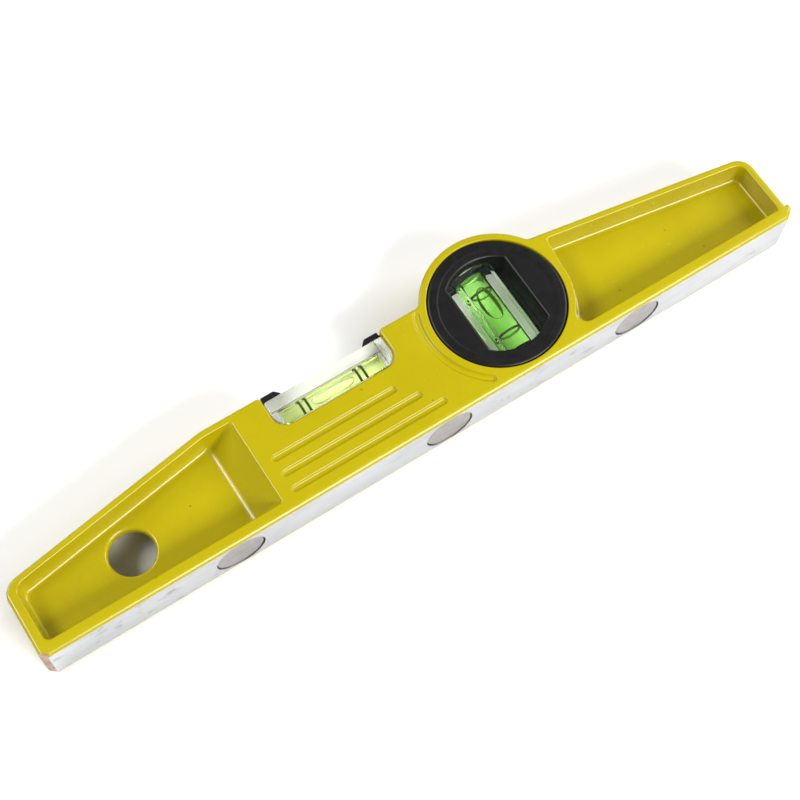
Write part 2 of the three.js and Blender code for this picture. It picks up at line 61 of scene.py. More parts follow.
# Casting, from the frame
BODY_LOW, BODY_HIGH = box_mm("cast_body")
THICK = BODY_HIGH.z
MID_Z = THICK / 2
END_LEFT = BODY_LOW.x
LIP_X = BODY_HIGH.x
BASE_Y = BODY_LOW.y
BOSS = (middle_mm("plumb_capsule_front").x, middle_mm("plumb_capsule_front").y)
BOSS_R = BODY_HIGH.y - BOSS[1]
MAGNETS = {node: middle_mm(node).x for node in ("magnet_left", "magnet_middle", "magnet_right")}

# Casting outline
GAP = 0.3
END_RIGHT = LIP_X - 1.6
MILL_STOCK = 0.2
TOP_Y = 11.15
EDGE_R = 0.85
BASE_EDGE_R = 2.0
FOOT_Y = BASE_Y - MILL_STOCK
LEFT_CHAMFER = (2.1, 2.0)
RIGHT_CHAMFER = (3.3, 2.8)
LIP_TOP_Y = -18.9
LIP_ROUND = 0.9
LEFT_SLOPE_X = -59.4
LEFT_END_Y = 0.3
SLOPE_START_R = 9.0
RIGHT_END_Y = 1.05
RIGHT_SLOPE = atan(0.1613)
CORNER_R = 5.5
NOTCH_LEFT = box_mm("level_vial_block")[0].x - GAP
NOTCH_RIGHT = box_mm("level_vial_block")[1].x + GAP
NOTCH_Y = box_mm("level_vial_block")[0].y - GAP
NOTCH_R = 4.2
NOTCH_LIP_R = 1.2
BOSS_FILLET = 2.4
BORE_R = 20.75
BORE_EDGE_R = 0.35
PLAN_LEFT_R = 1.2
PLAN_REAR_RIGHT_R = 4.0
PLAN_FRONT_RIGHT_R = 1.8
PLAN_CLEAR = 0.004

# Pockets, hole and grooves
POCKET_DEPTH = 7.2
POCKET_Y = -19.2
DRAFT = 0.7
RAMP_RUN = 8.6
LEFT_POCKET = (-123.7, -50.3)
RIGHT_POCKET_X = 123.0
RIGHT_POCKET_LEAN = 1.2
RIM = 2.15
POCKET_RIM_R = 0.45
POCKET_FLOOR_R = 1.4
RAMP_RIM_R = 0.7
RAMP_FLOOR_R = 3.6
LOW_LEFT_R = 2.0
LOW_RIGHT_R = 1.2
RAMP_R = 1.0
END_R = 3.2
END_R_LOST = 0.6
BESIDE_BOSS_R = 3.0
UNDER_SLOPE_R = 0.9
KINK_PAST_SLOPE = 0.3
KINK_OFF_RAMP = 1.4
HOLE = (-92.1, -7.2)
HOLE_R = 6.7
HOLE_EDGE_R = 1.0
GROOVE_START = -46.6
GROOVES = ((-7.1, -5.5), (-12.35, -0.2), (-17.6, 4.8))
GROOVE_W = 2.3
GROOVE_DEPTH = 0.7
GROOVE_DRAFT = 0.6
GROOVE_RIM_R = 0.4
GROOVE_FLOOR_R = 0.5
ARC_R = 24.15
ARC_W = 2.4
ARC_ANGLES = (radians(158.5), radians(233))

# Magnets
MAGNET_R = (box_mm("magnet_left")[1].x - box_mm("magnet_left")[0].x) / 2
MAGNET_T = box_mm("magnet_left")[1].y - box_mm("magnet_left")[0].y
MAGNET_SUNK = box_mm("magnet_left")[0].y - BASE_Y
MAGNET_EDGE_R = 0.25
OVERRUN = 1.0

# Level vial
LEVEL_BLOCK_LOW, LEVEL_BLOCK_HIGH = box_mm("level_vial_block")
LEVEL_MIDDLE = middle_mm("level_vial_spirit")
LEVEL_BORE_R = 3.15
LEVEL_BLOCK_TOP_R = 0.6
LEVEL_PLUG = 2.4
LEVEL_BUBBLE_HALF = 7.1
LEVEL_BUBBLE_WIDE = 2.3
LEVEL_BUBBLE_DEEP = 2.4
TONGUE = 1.5
TONGUE_Z = (4.0, 14.0)
RETAINER_SLANT = 2.0
RETAINER_EDGE_R = 0.3
TONGUE_OVERLAP = 0.8
TONGUE_SHY = 0.2

# Plumb vial and capsule
PLUMB_LOW, PLUMB_HIGH = box_mm("plumb_vial_block")
PLUMB_SIDE_Z = 1.7
PLUMB_FACE_X = 5.4
PLUMB_BORE_R = 3.95
PLUMB_CORNER_R = 0.35
PLUMB_PLUG = 3.0
PLUMB_BUBBLE_HALF = 5.8
PLUMB_BUBBLE_WIDE = 2.9
PLUMB_BUBBLE_DEEP = 2.5
CAPSULE_R = 20.45
CAPSULE_EDGE_R = 0.75
CAPSULE_DISH_R = 17.9
CAPSULE_DISH_RUN = 0.8
CAPSULE_DISH = 0.12
WINDOW_R = 15.05
WINDOW_HALF = 10.05
WINDOW_EDGE_R = 0.8

# Vials, both
MARK_W = 0.75
MARK_T = 0.12
MARK_INSET = 0.06
LEVEL_MARK_SWEEP = (radians(-15), radians(165))
PLUMB_MARK_SWEEP = (radians(-170), radians(170))
BUBBLE_SHY = 0.42
PLUG_GAP = 0.05
PLUG_SUNK = 0.4
PLUG_EDGE_R = 0.15
LIQUID_EDGE_R = 0.3
BLOCK_EDGE_R = 0.3
BUBBLE_FULLNESS = 0.9

# How finely round stretches are drawn, as steps for a quarter turn
FINE = 24
ROUND_STEPS = 6
SHARP_ANGLE = radians(32)


# ---- Plane outlines, anticlockwise lists of points in millimetres ----

def arc(centre, radius, start, end, steps):
    """Points on an arc, both ends included."""
    turn = [start + (end - start) * i / steps for i in range(steps + 1)]
    return [(centre[0] + radius * cos(a), centre[1] + radius * sin(a)) for a in turn]


def arc_between(centre, first, last, clockwise, steps):
    """An arc about a centre that starts and ends at two points."""
    radius = hypot(first[0] - centre[0], first[1] - centre[1])
    start = atan2(first[1] - centre[1], first[0] - centre[0])
    end = atan2(last[1] - centre[1], last[0] - centre[0])
    if clockwise and end > start:
        end -= 2 * pi
    if not clockwise and end < start:
        end += 2 * pi
    return arc(centre, radius, start, end, steps)


def corner_arc(before, corner, after, radius, steps):
    """The arc that rounds a corner on the way from one point to another."""
    b = Vector(corner[:2])
    ba = (Vector(before[:2]) - b).normalized()
    bc = (Vector(after[:2]) - b).normalized()
    half = ba.angle(bc) / 2
    centre = b + (ba + bc).normalized() * (radius / sin(half))
    first = b + ba * (radius / tan(half))
    last = b + bc * (radius / tan(half))
    return arc_between(centre, first, last, ba.cross(bc) > 0, steps)


def through_corners(corners, steps):
    """The inner points of a run of corners (x, y, radius), with the round ones as arcs."""
    points = []
    for before, corner, after in zip(corners, corners[1:], corners[2:]):
        if corner[2]:
            points += corner_arc(before, corner, after, corner[2], steps)
        else:
            points.append(corner[:2])
    return points


def rounded_loop(corners, steps=8):
    return through_corners([corners[-1], *corners, corners[0]], steps)


def without_repeats(points):
    """The loop without points that repeat the one before."""
    kept = []
    for i, point in enumerate(points):
        if (Vector(point) - Vector(points[i - 1])).length > 1e-4:
            kept.append(point)
    return kept


def circle(centre, radius, steps):
    return arc(centre, radius, 0, 2 * pi, steps)[:-1]


def offset(loop, distances):
    """The loop moved outwards, each point by its own distance."""
    moved = []
    for i, (x, y) in enumerate(loop):
        before = (Vector((x, y)) - Vector(loop[i - 1])).normalized()
        after = (Vector(loop[(i + 1) % len(loop)]) - Vector((x, y))).normalized()
        share = distances[i] / (1 + before.dot(after))
        moved.append((x + share * (before.y + after.y), y - share * (before.x + after.x)))
    return moved


def towards(origin, point, distance):
    """The point at a distance from an origin, in the direction of another point."""
    step = (Vector(point) - Vector(origin)).normalized() * distance
    return (origin[0] + step.x, origin[1] + step.y)


RIGHT_NORMAL = (sin(RIGHT_SLOPE), cos(RIGHT_SLOPE))
RIGHT_ALONG = (cos(RIGHT_SLOPE), -sin(RIGHT_SLOPE))


def beside_boss(point, normal, along, radius, side, boss_r=BOSS_R):
    """The centre of a circle that touches the boss from outside and a straight edge."""
    level = (point[0] - BOSS[0]) * normal[0] + (point[1] - BOSS[1]) * normal[1]
    away = level + side * radius
    run = sqrt((boss_r + radius) ** 2 - away ** 2)
    return (
        BOSS[0] + normal[0] * away + along[0] * run,
        BOSS[1] + normal[1] * away + along[1] * run,
    )


def left_top_at(x):
    return LEFT_END_Y + (TOP_Y - LEFT_END_Y) * (x - END_LEFT) / (LEFT_SLOPE_X - END_LEFT)


def right_top_at(x):
    return RIGHT_END_Y + tan(RIGHT_SLOPE) * (END_RIGHT - x)


def outline_loop():
    """The casting from the front, with milling stock left on the working face."""
    right = beside_boss((END_RIGHT, RIGHT_END_Y), RIGHT_NORMAL, RIGHT_ALONG, BOSS_FILLET, 1)
    left = beside_boss((0, TOP_Y), (0, 1), (-1, 0), BOSS_FILLET, 1)
    on_slope = (right[0] - RIGHT_NORMAL[0] * BOSS_FILLET, right[1] - RIGHT_NORMAL[1] * BOSS_FILLET)
    on_top = (left[0], TOP_Y)
    foot_left = (END_LEFT + LEFT_CHAMFER[0], FOOT_Y, 0)
    points = through_corners([
        foot_left,
        (LIP_X - RIGHT_CHAMFER[0], FOOT_Y, 0),
        (LIP_X, FOOT_Y + RIGHT_CHAMFER[1], 0),
        (LIP_X, LIP_TOP_Y, LIP_ROUND),
        (END_RIGHT, LIP_TOP_Y, 0),
        (END_RIGHT, RIGHT_END_Y, CORNER_R),
        on_slope,
    ], FINE // 2)
    points += arc_between(right, on_slope, towards(right, BOSS, BOSS_FILLET), True, FINE // 4)
    first, last = towards(BOSS, right, BOSS_R), towards(BOSS, left, BOSS_R)
    points += arc_between(BOSS, first, last, False, 2 * FINE)
    points += arc_between(left, towards(left, BOSS, BOSS_FILLET), on_top, True, FINE // 4)
    points += through_corners([
        on_top,
        (NOTCH_RIGHT, TOP_Y, NOTCH_LIP_R),
        (NOTCH_RIGHT, NOTCH_Y, NOTCH_R),
        (NOTCH_LEFT, NOTCH_Y, NOTCH_R),
        (NOTCH_LEFT, TOP_Y, NOTCH_LIP_R),
        (LEFT_SLOPE_X, TOP_Y, SLOPE_START_R),
        (END_LEFT, LEFT_END_Y, CORNER_R),
        (END_LEFT, FOOT_Y + LEFT_CHAMFER[1], 0),
        foot_left,
    ], FINE // 2)
    points.append(foot_left[:2])
    return without_repeats(points)


def edge_radius(point):
    """The front and back edges are rounder along the foot, which the mill cuts away in part."""
    return BASE_EDGE_R if point[1] < FOOT_Y + MILL_STOCK / 2 else EDGE_R


def left_pocket_loop(inset, ramp_inset, share):
    """The left pocket's section, its walls moved inwards. The share is 0 at the rim, 1 at the floor."""
    x0, x1 = LEFT_POCKET[0] + inset, LEFT_POCKET[1] - ramp_inset
    y0, top = POCKET_Y + inset, TOP_Y - RIM - inset
    kink = min(LEFT_SLOPE_X - KINK_PAST_SLOPE, x1 - KINK_OFF_RAMP)
    kink_y = min(top, left_top_at(kink) - RIM - inset)
    return rounded_loop([
        (x0, y0, LOW_LEFT_R),
        (x1, y0, RAMP_R + share),
        (x1, top, RAMP_R + 0.4 * share),
        (kink, kink_y, RAMP_R),
        (x0, left_top_at(x0) - RIM - inset, END_R - END_R_LOST * share),
    ])


def right_pocket_loop(inset, share):
    """The right pocket's section. Its inner side follows the boss, then runs nearly straight up."""
    x1, y0 = RIGHT_POCKET_X - inset, POCKET_Y + inset
    beside = (BOSS[0] + BOSS_R + inset, BOSS[1])
    x0 = beside[0] + RIGHT_POCKET_LEAN
    r = BESIDE_BOSS_R
    low = beside_boss((0, y0), (0, 1), (1, 0), r, 1, BOSS_R + inset)
    on_floor = (low[0], y0)
    points = arc_between(low, towards(low, BOSS, r), on_floor, False, FINE // 2)
    points += through_corners([
        on_floor,
        (x1, y0, LOW_RIGHT_R + 0.3 * share),
        (x1, right_top_at(x1) - RIM - inset, END_R - END_R_LOST * share),
        (x0, right_top_at(x0) - RIM - inset, UNDER_SLOPE_R),
        beside,
    ], FINE // 2)
    points += arc_between(BOSS, beside, towards(BOSS, low, BOSS_R + inset), True, FINE)[:-1]
    return without_repeats(points)


def straight_groove_loop(y, end, inset):
    r = GROOVE_W / 2
    left = arc((GROOVE_START + r, y), r - inset, pi / 2, 1.5 * pi, FINE // 2)
    right = arc((end - r, y), r - inset, -pi / 2, pi / 2, FINE // 2)
    return left + right


def arc_groove_loop(inset):
    """A groove round part of the boss, with round ends."""
    a, b = ARC_ANGLES
    r = ARC_W / 2 - inset
    end = (BOSS[0] + ARC_R * cos(b), BOSS[1] + ARC_R * sin(b))
    start = (BOSS[0] + ARC_R * cos(a), BOSS[1] + ARC_R * sin(a))
    outer = arc(BOSS, ARC_R + r, a, b, FINE)
    inner = arc(BOSS, ARC_R - r, b, a, FINE)
    far_end = arc(end, r, b, b + pi, FINE // 2)[1:-1]
    near_end = arc(start, r, a + pi, a + 2 * pi, FINE // 2)[1:-1]
    return outer + far_end + inner + near_end


def window_loop(inset=0.0):
    """Two chords and two arcs."""
    half, radius = WINDOW_HALF - inset, WINDOW_R - inset
    rise = sqrt(radius ** 2 - half ** 2)
    x, y = BOSS
    top = arc_between(BOSS, (x + half, y + rise), (x - half, y + rise), False, FINE)
    foot = arc_between(BOSS, (x - half, y - rise), (x + half, y - rise), False, FINE)
    return top + foot


def plumb_section(grown=0.0):
    """The plumb block across its length, in X and Z."""
    x, z = BOSS[0], MID_Z
    side, face = PLUMB_HIGH.x - x + grown, PLUMB_FACE_X + grown
    side_z, face_z = PLUMB_SIDE_Z + grown, PLUMB_HIGH.z - z + grown
    half = [(face, -face_z), (side, -side_z), (side, side_z), (face, face_z)]
    return [(x + u, z + v) for u, v in half] + [(x - u, z - v) for u, v in half]


# ---- Solids ----

def place(axis, u, v, w):
    """A point whose own axis w lies along X, Y or Z of the level, in metres."""
    spot = {"x": (w, u, v), "y": (u, w, v), "z": (u, v, w)}[axis]
    return Vector(spot) * MM


def add_ring(bm, loop, heights, axis="z"):
    """Vertices round a loop, at one height or at a height for each point."""
    if not isinstance(heights, list):
        heights = [heights] * len(loop)
    return [bm.verts.new(place(axis, u, v, w)) for (u, v), w in zip(loop, heights)]


def skin(bm, rings):
    """Joins each ring to the next one with quads."""
    for a, b in zip(rings, rings[1:]):
        for i in range(len(a)):
            bm.faces.new((a[i - 1], a[i], b[i], b[i - 1]))


def fill(bm, rings):
    """A flat face bounded by rings, the inner ones being holes."""
    edges = [bm.edges.get((ring[i - 1], ring[i])) for ring in rings for i in range(len(ring))]
    bmesh.ops.triangle_fill(bm, use_beauty=True, use_dissolve=False, edges=edges)


def quarter(radius, steps=ROUND_STEPS):
    """Insets and depths along a rounded edge, from the face to the wall."""
    angles = [pi / 2 * i / steps for i in range(steps + 1)]
    return [(radius * (1 - sin(a)), radius * (1 - cos(a))) for a in angles]


def through_band(bm, loop, radii, outwards, low, high, axis="z"):
    """A wall from one face to the other with rounded edges. Returns its two end rings."""
    rings = []
    levels = [i / ROUND_STEPS for i in range(ROUND_STEPS + 1)]
    for face, sign, order in ((high, -1, levels), (low, 1, levels[::-1])):
        for level in order:
            inset, depth = 1 - sin(pi / 2 * level), 1 - cos(pi / 2 * level)
            moved = offset(loop, [outwards * r * inset for r in radii])
            rings.append(add_ring(bm, moved, [face + sign * r * depth for r in radii], axis))
    skin(bm, rings)
    return rings[0], rings[-1]


def rounded_prism(loop, low, high, radius, axis="z"):
    """A bar of one section with rounded end edges."""
    bm = bmesh.new()
    ends = through_band(bm, loop, [radius] * len(loop), -1, low, high, axis)
    for ring in ends:
        fill(bm, [ring])
    return bm


def plain_prism(loop, low, high, axis="z"):
    bm = bmesh.new()
    rings = [add_ring(bm, loop, level, axis) for level in (low, high)]
    skin(bm, rings)
    for ring in rings:
        bm.faces.new(ring)
    bmesh.ops.recalc_face_normals(bm, faces=bm.faces)
    return bm


def turned(profile, centre, axis, steps=3 * FINE):
    """A profile of (radius, place along the axis) turned round an axis through a centre."""
    bm = bmesh.new()
    rings = [add_ring(bm, circle(centre, radius, steps), along, axis) for radius, along in profile]
    skin(bm, rings)
    for ring in (rings[0], rings[-1]):
        fill(bm, [ring])
    return bm


def turned_band(inner, outer, low, high, centre, axis, sweep):
    """A thin band round part of a bore, from one angle to another."""
    outside = arc(centre, outer, *sweep, 3 * FINE)
    inside = arc(centre, inner, *reversed(sweep), 3 * FINE)
    return plain_prism(outside + inside, low, high, axis)


def boolean(bm, tool, operation):
    """The solid joined with, cut by or limited to another one. Uses up both."""
    objects = []
    for solid in (bm, tool):
        bmesh.ops.recalc_face_normals(solid, faces=solid.faces)
        mesh = bpy.data.meshes.new("work")
        solid.to_mesh(mesh)
        solid.free()
        work = bpy.data.objects.new("work", mesh)
        bpy.context.scene.collection.objects.link(work)
        objects.append(work)
    cut = objects[0].modifiers.new("cut", "BOOLEAN")
    cut.operation = operation
    cut.solver = "EXACT"
    cut.object = objects[1]
    evaluated = objects[0].evaluated_get(bpy.context.evaluated_depsgraph_get())
    result = bmesh.new()
    result.from_mesh(evaluated.to_mesh())
    evaluated.to_mesh_clear()
    for work in objects:
        bpy.data.meshes.remove(work.data)
    bmesh.ops.remove_doubles(result, verts=result.verts, dist=1e-7)
    return result


def wall_inset(depth, slope, rim_r, floor_r, total):
    """How far a sunk wall has come inwards at a depth, with a rounded rim and a filleted foot."""
    rim_depth = rim_r * (1 - cos(slope))
    floor_depth = floor_r * (1 - cos(slope))
    if depth < rim_depth:
        return -rim_r * tan(slope / 2) + sqrt(max(0, 2 * rim_r * depth - depth ** 2))
    if depth > total - floor_depth:
        rest = total - depth
        reach = total / tan(slope) + floor_r * tan(slope / 2)
        return reach - sqrt(max(0, 2 * floor_r * rest - rest ** 2))
    return depth / tan(slope)


def wall_depths(walls, total):
    """The depths at which sunk walls (slope, rim radius, floor radius) are drawn."""
    found = {0.0, total}
    for slope, rim_r, floor_r in walls:
        for i in range(1, ROUND_STEPS + 1):
            turn = 1 - cos(slope * i / ROUND_STEPS)
            found |= {rim_r * turn, total - floor_r * turn}
    depths = []
    for depth in sorted(found):
        if not depths or depth - depths[-1] > 0.004:
            depths.append(depth)
    depths[-1] = total
    return depths


# ---- The casting ----

STEEP = (atan2(POCKET_DEPTH, DRAFT), POCKET_RIM_R, POCKET_FLOOR_R)
RAMP = (atan2(POCKET_DEPTH, RAMP_RUN), RAMP_RIM_R, RAMP_FLOOR_R)
GROOVE_WALL = (atan2(GROOVE_DEPTH, GROOVE_DRAFT), GROOVE_RIM_R, GROOVE_FLOOR_R)


def height(side, depth):
    """The Z of a depth under the front face, or over the back face where side is -1."""
    return THICK - depth if side > 0 else depth


def left_pocket_sections():
    for depth in wall_depths([STEEP, RAMP], POCKET_DEPTH):
        inset = wall_inset(depth, *STEEP, POCKET_DEPTH)
        ramp_inset = wall_inset(depth, *RAMP, POCKET_DEPTH)
        yield left_pocket_loop(inset, ramp_inset, depth / POCKET_DEPTH), depth


def right_pocket_sections():
    for depth in wall_depths([STEEP], POCKET_DEPTH):
        inset = wall_inset(depth, *STEEP, POCKET_DEPTH)
        yield right_pocket_loop(inset, depth / POCKET_DEPTH), depth


def groove_sections(loop_at):
    """Sections of a groove whose outline at an inset is given by a function."""
    for depth in wall_depths([GROOVE_WALL], GROOVE_DEPTH):
        yield loop_at(wall_inset(depth, *GROOVE_WALL, GROOVE_DEPTH)), depth


def sunk_band(bm, side, sections):
    """The walls of a sunk shape. Returns its rim and the ring round its floor."""
    rings = [add_ring(bm, loop, height(side, depth)) for loop, depth in sections]
    skin(bm, rings)
    return rings[0], rings[-1]


def casting_skin():
    """The casting before it is milled and bored for the magnets."""
    bm = bmesh.new()
    outline = outline_loop()
    front, back = through_band(bm, outline, [edge_radius(p) for p in outline], -1, 0, THICK)
    bore = circle(BOSS, BORE_R, 5 * FINE)
    bore_front, bore_back = through_band(bm, bore, [BORE_EDGE_R] * len(bore), 1, 0, THICK)
    hole = circle(HOLE, HOLE_R, 3 * FINE)
    web = (POCKET_DEPTH, THICK - POCKET_DEPTH)
    hole_front, hole_back = through_band(bm, hole, [HOLE_EDGE_R] * len(hole), 1, *web)
    for side, rings, hole_ring in (1, [front, bore_front], hole_front), (-1, [back, bore_back], hole_back):
        rim, floor = sunk_band(bm, side, left_pocket_sections())
        fill(bm, [floor, hole_ring])
        rings.append(rim)
        rim, floor = sunk_band(bm, side, right_pocket_sections())
        fill(bm, [floor])
        rings.append(rim)
        loops = [arc_groove_loop]
        for y, end in GROOVES:
            loops.append(lambda inset, y=y, end=end: straight_groove_loop(y, end, inset))
        for loop_at in loops:
            rim, floor = sunk_band(bm, side, groove_sections(loop_at))
            fill(bm, [floor])
            rings.append(rim)
        fill(bm, rings)
    return bm


def plan_prism():
    """The casting seen from its top edge, just clear of its front and back, from the milled face up."""
    low, high = -PLAN_CLEAR, THICK + PLAN_CLEAR
    loop = rounded_loop([
        (END_LEFT, low, PLAN_LEFT_R),
        (LIP_X, low, PLAN_REAR_RIGHT_R),
        (LIP_X, high, PLAN_FRONT_RIGHT_R),
        (END_LEFT, high, PLAN_LEFT_R),
    ])
    return plain_prism(loop, BASE_Y, 2 * BOSS_R, "y")


def casting():
    bm = boolean(casting_skin(), plan_prism(), "INTERSECT")
    bore_top = BASE_Y + MAGNET_SUNK + MAGNET_T + GAP
    for x in MAGNETS.values():
        loop = circle((x, MID_Z), MAGNET_R + GAP, 3 * FINE)
        bm = boolean(bm, plain_prism(loop, BASE_Y - OVERRUN, bore_top, "y"), "DIFFERENCE")
    slot_low, slot_high = LEVEL_BLOCK_HIGH.y, TOP_Y + OVERRUN
    z0, z1 = TONGUE_Z[0] - GAP, TONGUE_Z[1] + GAP
    left = NOTCH_LEFT - TONGUE, NOTCH_LEFT + OVERRUN
    right = NOTCH_RIGHT - OVERRUN, NOTCH_RIGHT + TONGUE
    for x0, x1 in left, right:
        loop = [(x0, z0), (x1, z0), (x1, z1), (x0, z1)]
        bm = boolean(bm, plain_prism(loop, slot_low, slot_high, "y"), "DIFFERENCE")
    return bm


def finish_capsule(bm):
    """The window's walls are matt, the face is satin."""
    bmesh.ops.recalc_face_normals(bm, faces=bm.faces)
    middle = Vector((BOSS[0] * MM, BOSS[1] * MM))
    for face in bm.faces:
        spot = face.calc_center_median()
        inside = (spot.xy - middle).length < (WINDOW_R + 0.5) * MM
        if inside and abs(face.normal.z) < 0.5:
            face.material_index = 1
    return bm


def finish_level_block(bm):
    """The block is sawn off at its ends, and polished elsewhere. The sawn ends take a painted yellow-brown
    tint for the shaded yellow notch wall seen through them.
    """
    bmesh.ops.recalc_face_normals(bm, faces=bm.faces)
    for face in bm.faces:
        if abs(face.normal.x) > 0.95:
            face.material_index = 1
    return bm


def is_milled(face):
    return face.calc_center_median().y < (BASE_Y + 0.01) * MM and face.normal.y < -0.9


def is_left_chamfer(face):
    spot = face.calc_center_median()
    return spot.x < (END_LEFT + LEFT_CHAMFER[0]) * MM and face.normal.y < -0.5 and not is_milled(face)


def is_magnet_seat(face):
    """The bare bores behind the magnets."""
    spot = face.calc_center_median()
    sunk = BASE_Y * MM < spot.y < (BASE_Y + MAGNET_SUNK + MAGNET_T + 2 * GAP) * MM
    near = any(abs(spot.x / MM - x) < MAGNET_R + GAP for x in MAGNETS.values())
    return sunk and near and abs(spot.z / MM - MID_Z) < MAGNET_R + GAP


def finish_casting(bm):
    """Gives the milled face, the seats and the brown left chamfer their material numbers."""
    bmesh.ops.recalc_face_normals(bm, faces=bm.faces)
    for face in bm.faces:
        if is_milled(face) or is_magnet_seat(face):
            face.material_index = 1
        elif is_left_chamfer(face):
            face.material_index = 2
    return bm


# ---- The smaller pieces ----

def magnet(node):
    low, high = box_mm(node)
    r = MAGNET_EDGE_R
    profile = [(MAGNET_R - inset, low.y + depth) for inset, depth in quarter(r)]
    profile += [(MAGNET_R, high.y)]
    return turned(profile, (MAGNETS[node], MID_Z), "y")


def level_block():
    low, high = LEVEL_BLOCK_LOW, LEVEL_BLOCK_HIGH
    r = NOTCH_R - GAP
    loop = rounded_loop([
        (low.x, low.y, r),
        (high.x, low.y, r),
        (high.x, high.y, LEVEL_BLOCK_TOP_R),
        (low.x, high.y, LEVEL_BLOCK_TOP_R),
    ], FINE // 2)
    return rounded_prism(loop, low.z, high.z, BLOCK_EDGE_R)


def spirit(radius, low, high, centre, axis):
    """A bar of liquid with slightly rounded ends."""
    rounding = quarter(LIQUID_EDGE_R, 4)
    profile = [(radius - inset, low + depth) for inset, depth in rounding]
    profile += [(radius - inset, high - depth) for inset, depth in reversed(rounding)]
    return turned(profile, centre, axis, 4 * FINE)


def bubble(half_length, half_width, deep, radius, centre, middle, axis):
    """Air under the top of a round bore: a long drop bent to the curve of the wall."""
    bm = bmesh.new()
    rings = []
    steps = 2 * FINE
    for i in range(1, steps):
        turn = pi * i / steps
        swell = sin(turn) ** BUBBLE_FULLNESS
        loop = []
        for j in range(steps):
            angle = 2 * pi * j / steps
            u = half_width * swell * cos(angle)
            v = sqrt(radius ** 2 - u ** 2) + deep / 2 * (swell * sin(angle) - 1)
            loop.append((centre[0] + u, centre[1] + v))
        rings.append(add_ring(bm, loop, middle - half_length * cos(turn), axis))
    skin(bm, rings)
    for ring in (rings[0], rings[-1]):
        fill(bm, [ring])
    return bm


def mark(bore_r, along, centre, axis, sweep):
    outer = bore_r - MARK_INSET
    half = MARK_W / 2
    return turned_band(outer - MARK_T, outer, along - half, along + half, centre, axis, sweep)


def plug(radius, low, high, centre, axis):
    rounding = quarter(PLUG_EDGE_R, 3)
    profile = [(radius - inset, low + depth) for inset, depth in rounding]
    profile += [(radius - inset, high - depth) for inset, depth in reversed(rounding)]
    return turned(profile, centre, axis)


def retainer(node, side):
    """A wedge on the block's end with a tongue in the notch wall."""
    low, high = box_mm(node)
    wall = LEVEL_BLOCK_LOW.x if side < 0 else LEVEL_BLOCK_HIGH.x
    inner = high.x if side < 0 else low.x
    corners = [
        (wall, low.y, 0.2),
        (inner, low.y, 0.35),
        (inner + side * RETAINER_SLANT, high.y, 0.5),
        (wall, high.y, 0.3),
    ]
    loop = rounded_loop(corners if side < 0 else corners[::-1], 4)
    wedge = rounded_prism(loop, low.z, high.z, RETAINER_EDGE_R)
    outer = low.x if side < 0 else high.x
    x0, x1 = sorted((outer, wall - side * TONGUE_OVERLAP))
    foot, top = low.y + 0.01, TOP_Y - TONGUE_SHY
    tongue = plain_prism([(x0, foot), (x1, foot), (x1, top), (x0, top)], *TONGUE_Z)
    return boolean(wedge, tongue, "UNION")


def plumb_block():
    corners = [(u, v, PLUMB_CORNER_R) for u, v in plumb_section()]
    return rounded_prism(rounded_loop(corners, 4), PLUMB_LOW.y, PLUMB_HIGH.y, BLOCK_EDGE_R, "y")


def capsule_half(node, side):
    """One half of the capsule: rounded rim, dished face, window and a slot for the block."""
    low, high = box_mm(node)
    face, seam = (high.z, low.z) if side > 0 else (low.z, high.z)
    bm = bmesh.new()
    rings = [add_ring(bm, circle(BOSS, CAPSULE_R, 5 * FINE), seam)]
    for inset, depth in reversed(quarter(CAPSULE_EDGE_R)):
        rings.append(add_ring(bm, circle(BOSS, CAPSULE_R - inset, 5 * FINE), face - side * depth))
    for i in range(ROUND_STEPS + 1):
        share = i / ROUND_STEPS
        radius = CAPSULE_DISH_R - CAPSULE_DISH_RUN * share
        depth = CAPSULE_DISH * (1 - cos(pi * share)) / 2
        rings.append(add_ring(bm, circle(BOSS, radius, 5 * FINE), face - side * depth))
    skin(bm, rings)
    window = window_loop()
    inner = []
    for inset, depth in quarter(WINDOW_EDGE_R, 4):
        level = face - side * (CAPSULE_DISH + depth)
        inner.append(add_ring(bm, window_loop(-inset), level))
    inner.append(add_ring(bm, window, seam))
    skin(bm, inner)
    fill(bm, [rings[-1], inner[0]])
    fill(bm, [rings[0], inner[-1]])
    slot = plain_prism(plumb_section(GAP), PLUMB_LOW.y - GAP, PLUMB_HIGH.y + GAP, "y")
    return boolean(bm, slot, "DIFFERENCE")


# ---- Materials ----

